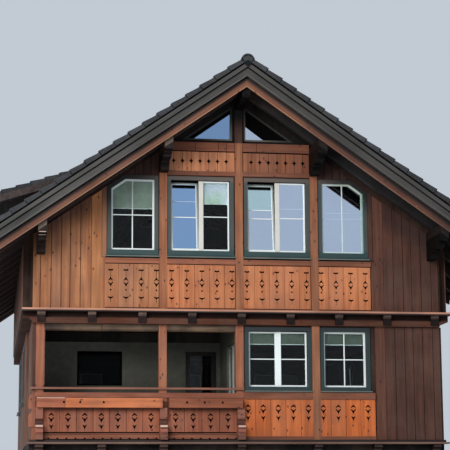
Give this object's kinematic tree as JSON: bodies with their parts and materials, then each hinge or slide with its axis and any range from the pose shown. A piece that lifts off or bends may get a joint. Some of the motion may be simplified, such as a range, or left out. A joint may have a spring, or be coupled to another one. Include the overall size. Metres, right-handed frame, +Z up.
{
  "type": "alpine chalet",
  "caption": "Gabled timber chalet on a rendered ground storey, with carved parapets, a recessed loggia, deep tiled eaves on purlins and a shed dormer.",
  "frame": {"origin": "middle of the footprint on the ground", "axes": "+Z up, front gable faces -Y, +X to the right when facing the front"},
  "size_m": [10.552, 12.6, 10.0184],
  "materials": {
    "render": "lime render, trowelled",
    "plaster": "smooth plaster",
    "concrete": "cast slab",
    "wall_timber": "weathered planks",
    "post_timber": "planed posts",
    "carved_timber": "sawn fretwork boards",
    "dark_timber": "sun-darkened beams",
    "orange_timber": "oiled barge boards",
    "grey_timber": "grey weathered boards",
    "roof_tile": "interlocking clay tiles",
    "white_paint": "white paint",
    "green_paint": "dark green paint",
    "door_timber": "panelled door",
    "sill_metal": "grey sheet",
    "glass": "clear glazing"
  },
  "bodies": {
    "root": {"ground_slab": "concrete", "ground_front_wall": "render", "ground_back_wall": "render", "ground_left_wall": "render", "ground_right_wall": "render", "entrance_door": "door_timber", "first_floor_deck": "dark_timber", "joist_heads": "dark_timber", "first_front_wall": "wall_timber", "first_back_wall": "wall_timber", "first_left_wall": "wall_timber", "first_right_wall": "wall_timber", "loggia_back_wall": "plaster", "loggia_side_wall": "plaster", "loggia_cheek": "dark_timber", "loggia_posts": "post_timber", "loggia_handrails": "dark_timber", "flower_boxes": "dark_timber", "loggia_brackets": "dark_timber", "loggia_blinds": "wall_timber", "loggia_door": "white_paint", "loggia_carved_boards": "carved_timber", "first_carved_boards": "carved_timber", "parapet_rails": "dark_timber", "front_beam": "dark_timber", "ledges": "dark_timber", "attic_floor_deck": "dark_timber", "attic_front_wall": "wall_timber", "attic_back_wall": "wall_timber", "attic_left_wall": "wall_timber", "attic_right_wall": "wall_timber", "facade_posts": "post_timber", "attic_carved_boards": "carved_timber", "gable_carved_boards": "carved_timber", "window_frames_ground": "white_paint", "window_frames_first": "white_paint", "window_frames_attic": "white_paint", "window_trims": "green_paint", "window_sills": "sill_metal", "window_panes": "glass", "purlins": "dark_timber", "purlin_corbels": "dark_timber", "rafters": "dark_timber", "roof_deck_left": "dark_timber", "roof_deck_right": "dark_timber", "roof_tiles_left": "roof_tile", "roof_tiles_right": "roof_tile", "ridge_tiles": "roof_tile", "barge_boards": "orange_timber", "verge_boards": "grey_timber", "eave_fascias": "dark_timber", "dormer_front_wall": "wall_timber", "dormer_cheeks": "wall_timber", "dormer_roof": "dark_timber", "dormer_tiles": "roof_tile"}
  },
  "joints": []
}
